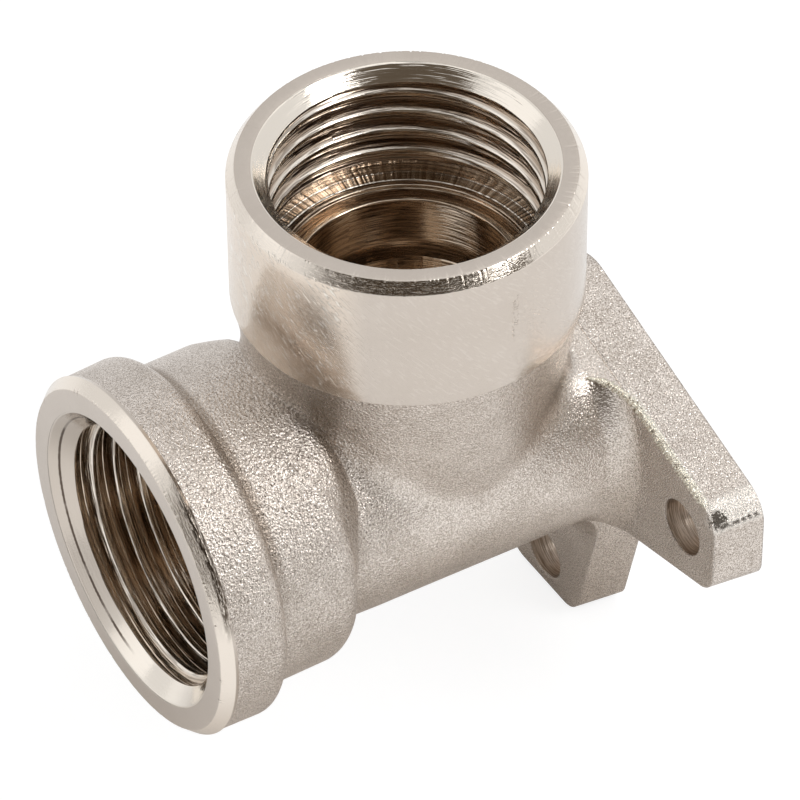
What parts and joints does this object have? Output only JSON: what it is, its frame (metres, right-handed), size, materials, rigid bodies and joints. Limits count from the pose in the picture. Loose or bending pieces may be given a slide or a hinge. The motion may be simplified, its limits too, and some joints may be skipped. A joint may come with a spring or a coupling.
{
  "type": "wall plate elbow",
  "caption": "Female threaded elbow fitting of nickel plated brass with a wall plate, carrying a water line round a corner to an outlet fixed to the wall.",
  "frame": {"origin": "point of the wall plane that the outlet's axis runs through, on the back of the wall plate", "axes": "+Z along the inlet's axis out of its mouth, -Y along the outlet's axis out of its mouth, +Y into the wall, +X across the plate's two side ears"},
  "size_m": [0.0436, 0.0393, 0.0478],
  "materials": {
    "nickel_plate": "nickel plated brass, shot blasted forging with turned port faces"
  },
  "bodies": {
    "root": {"elbow_body": "nickel_plate"}
  },
  "joints": []
}
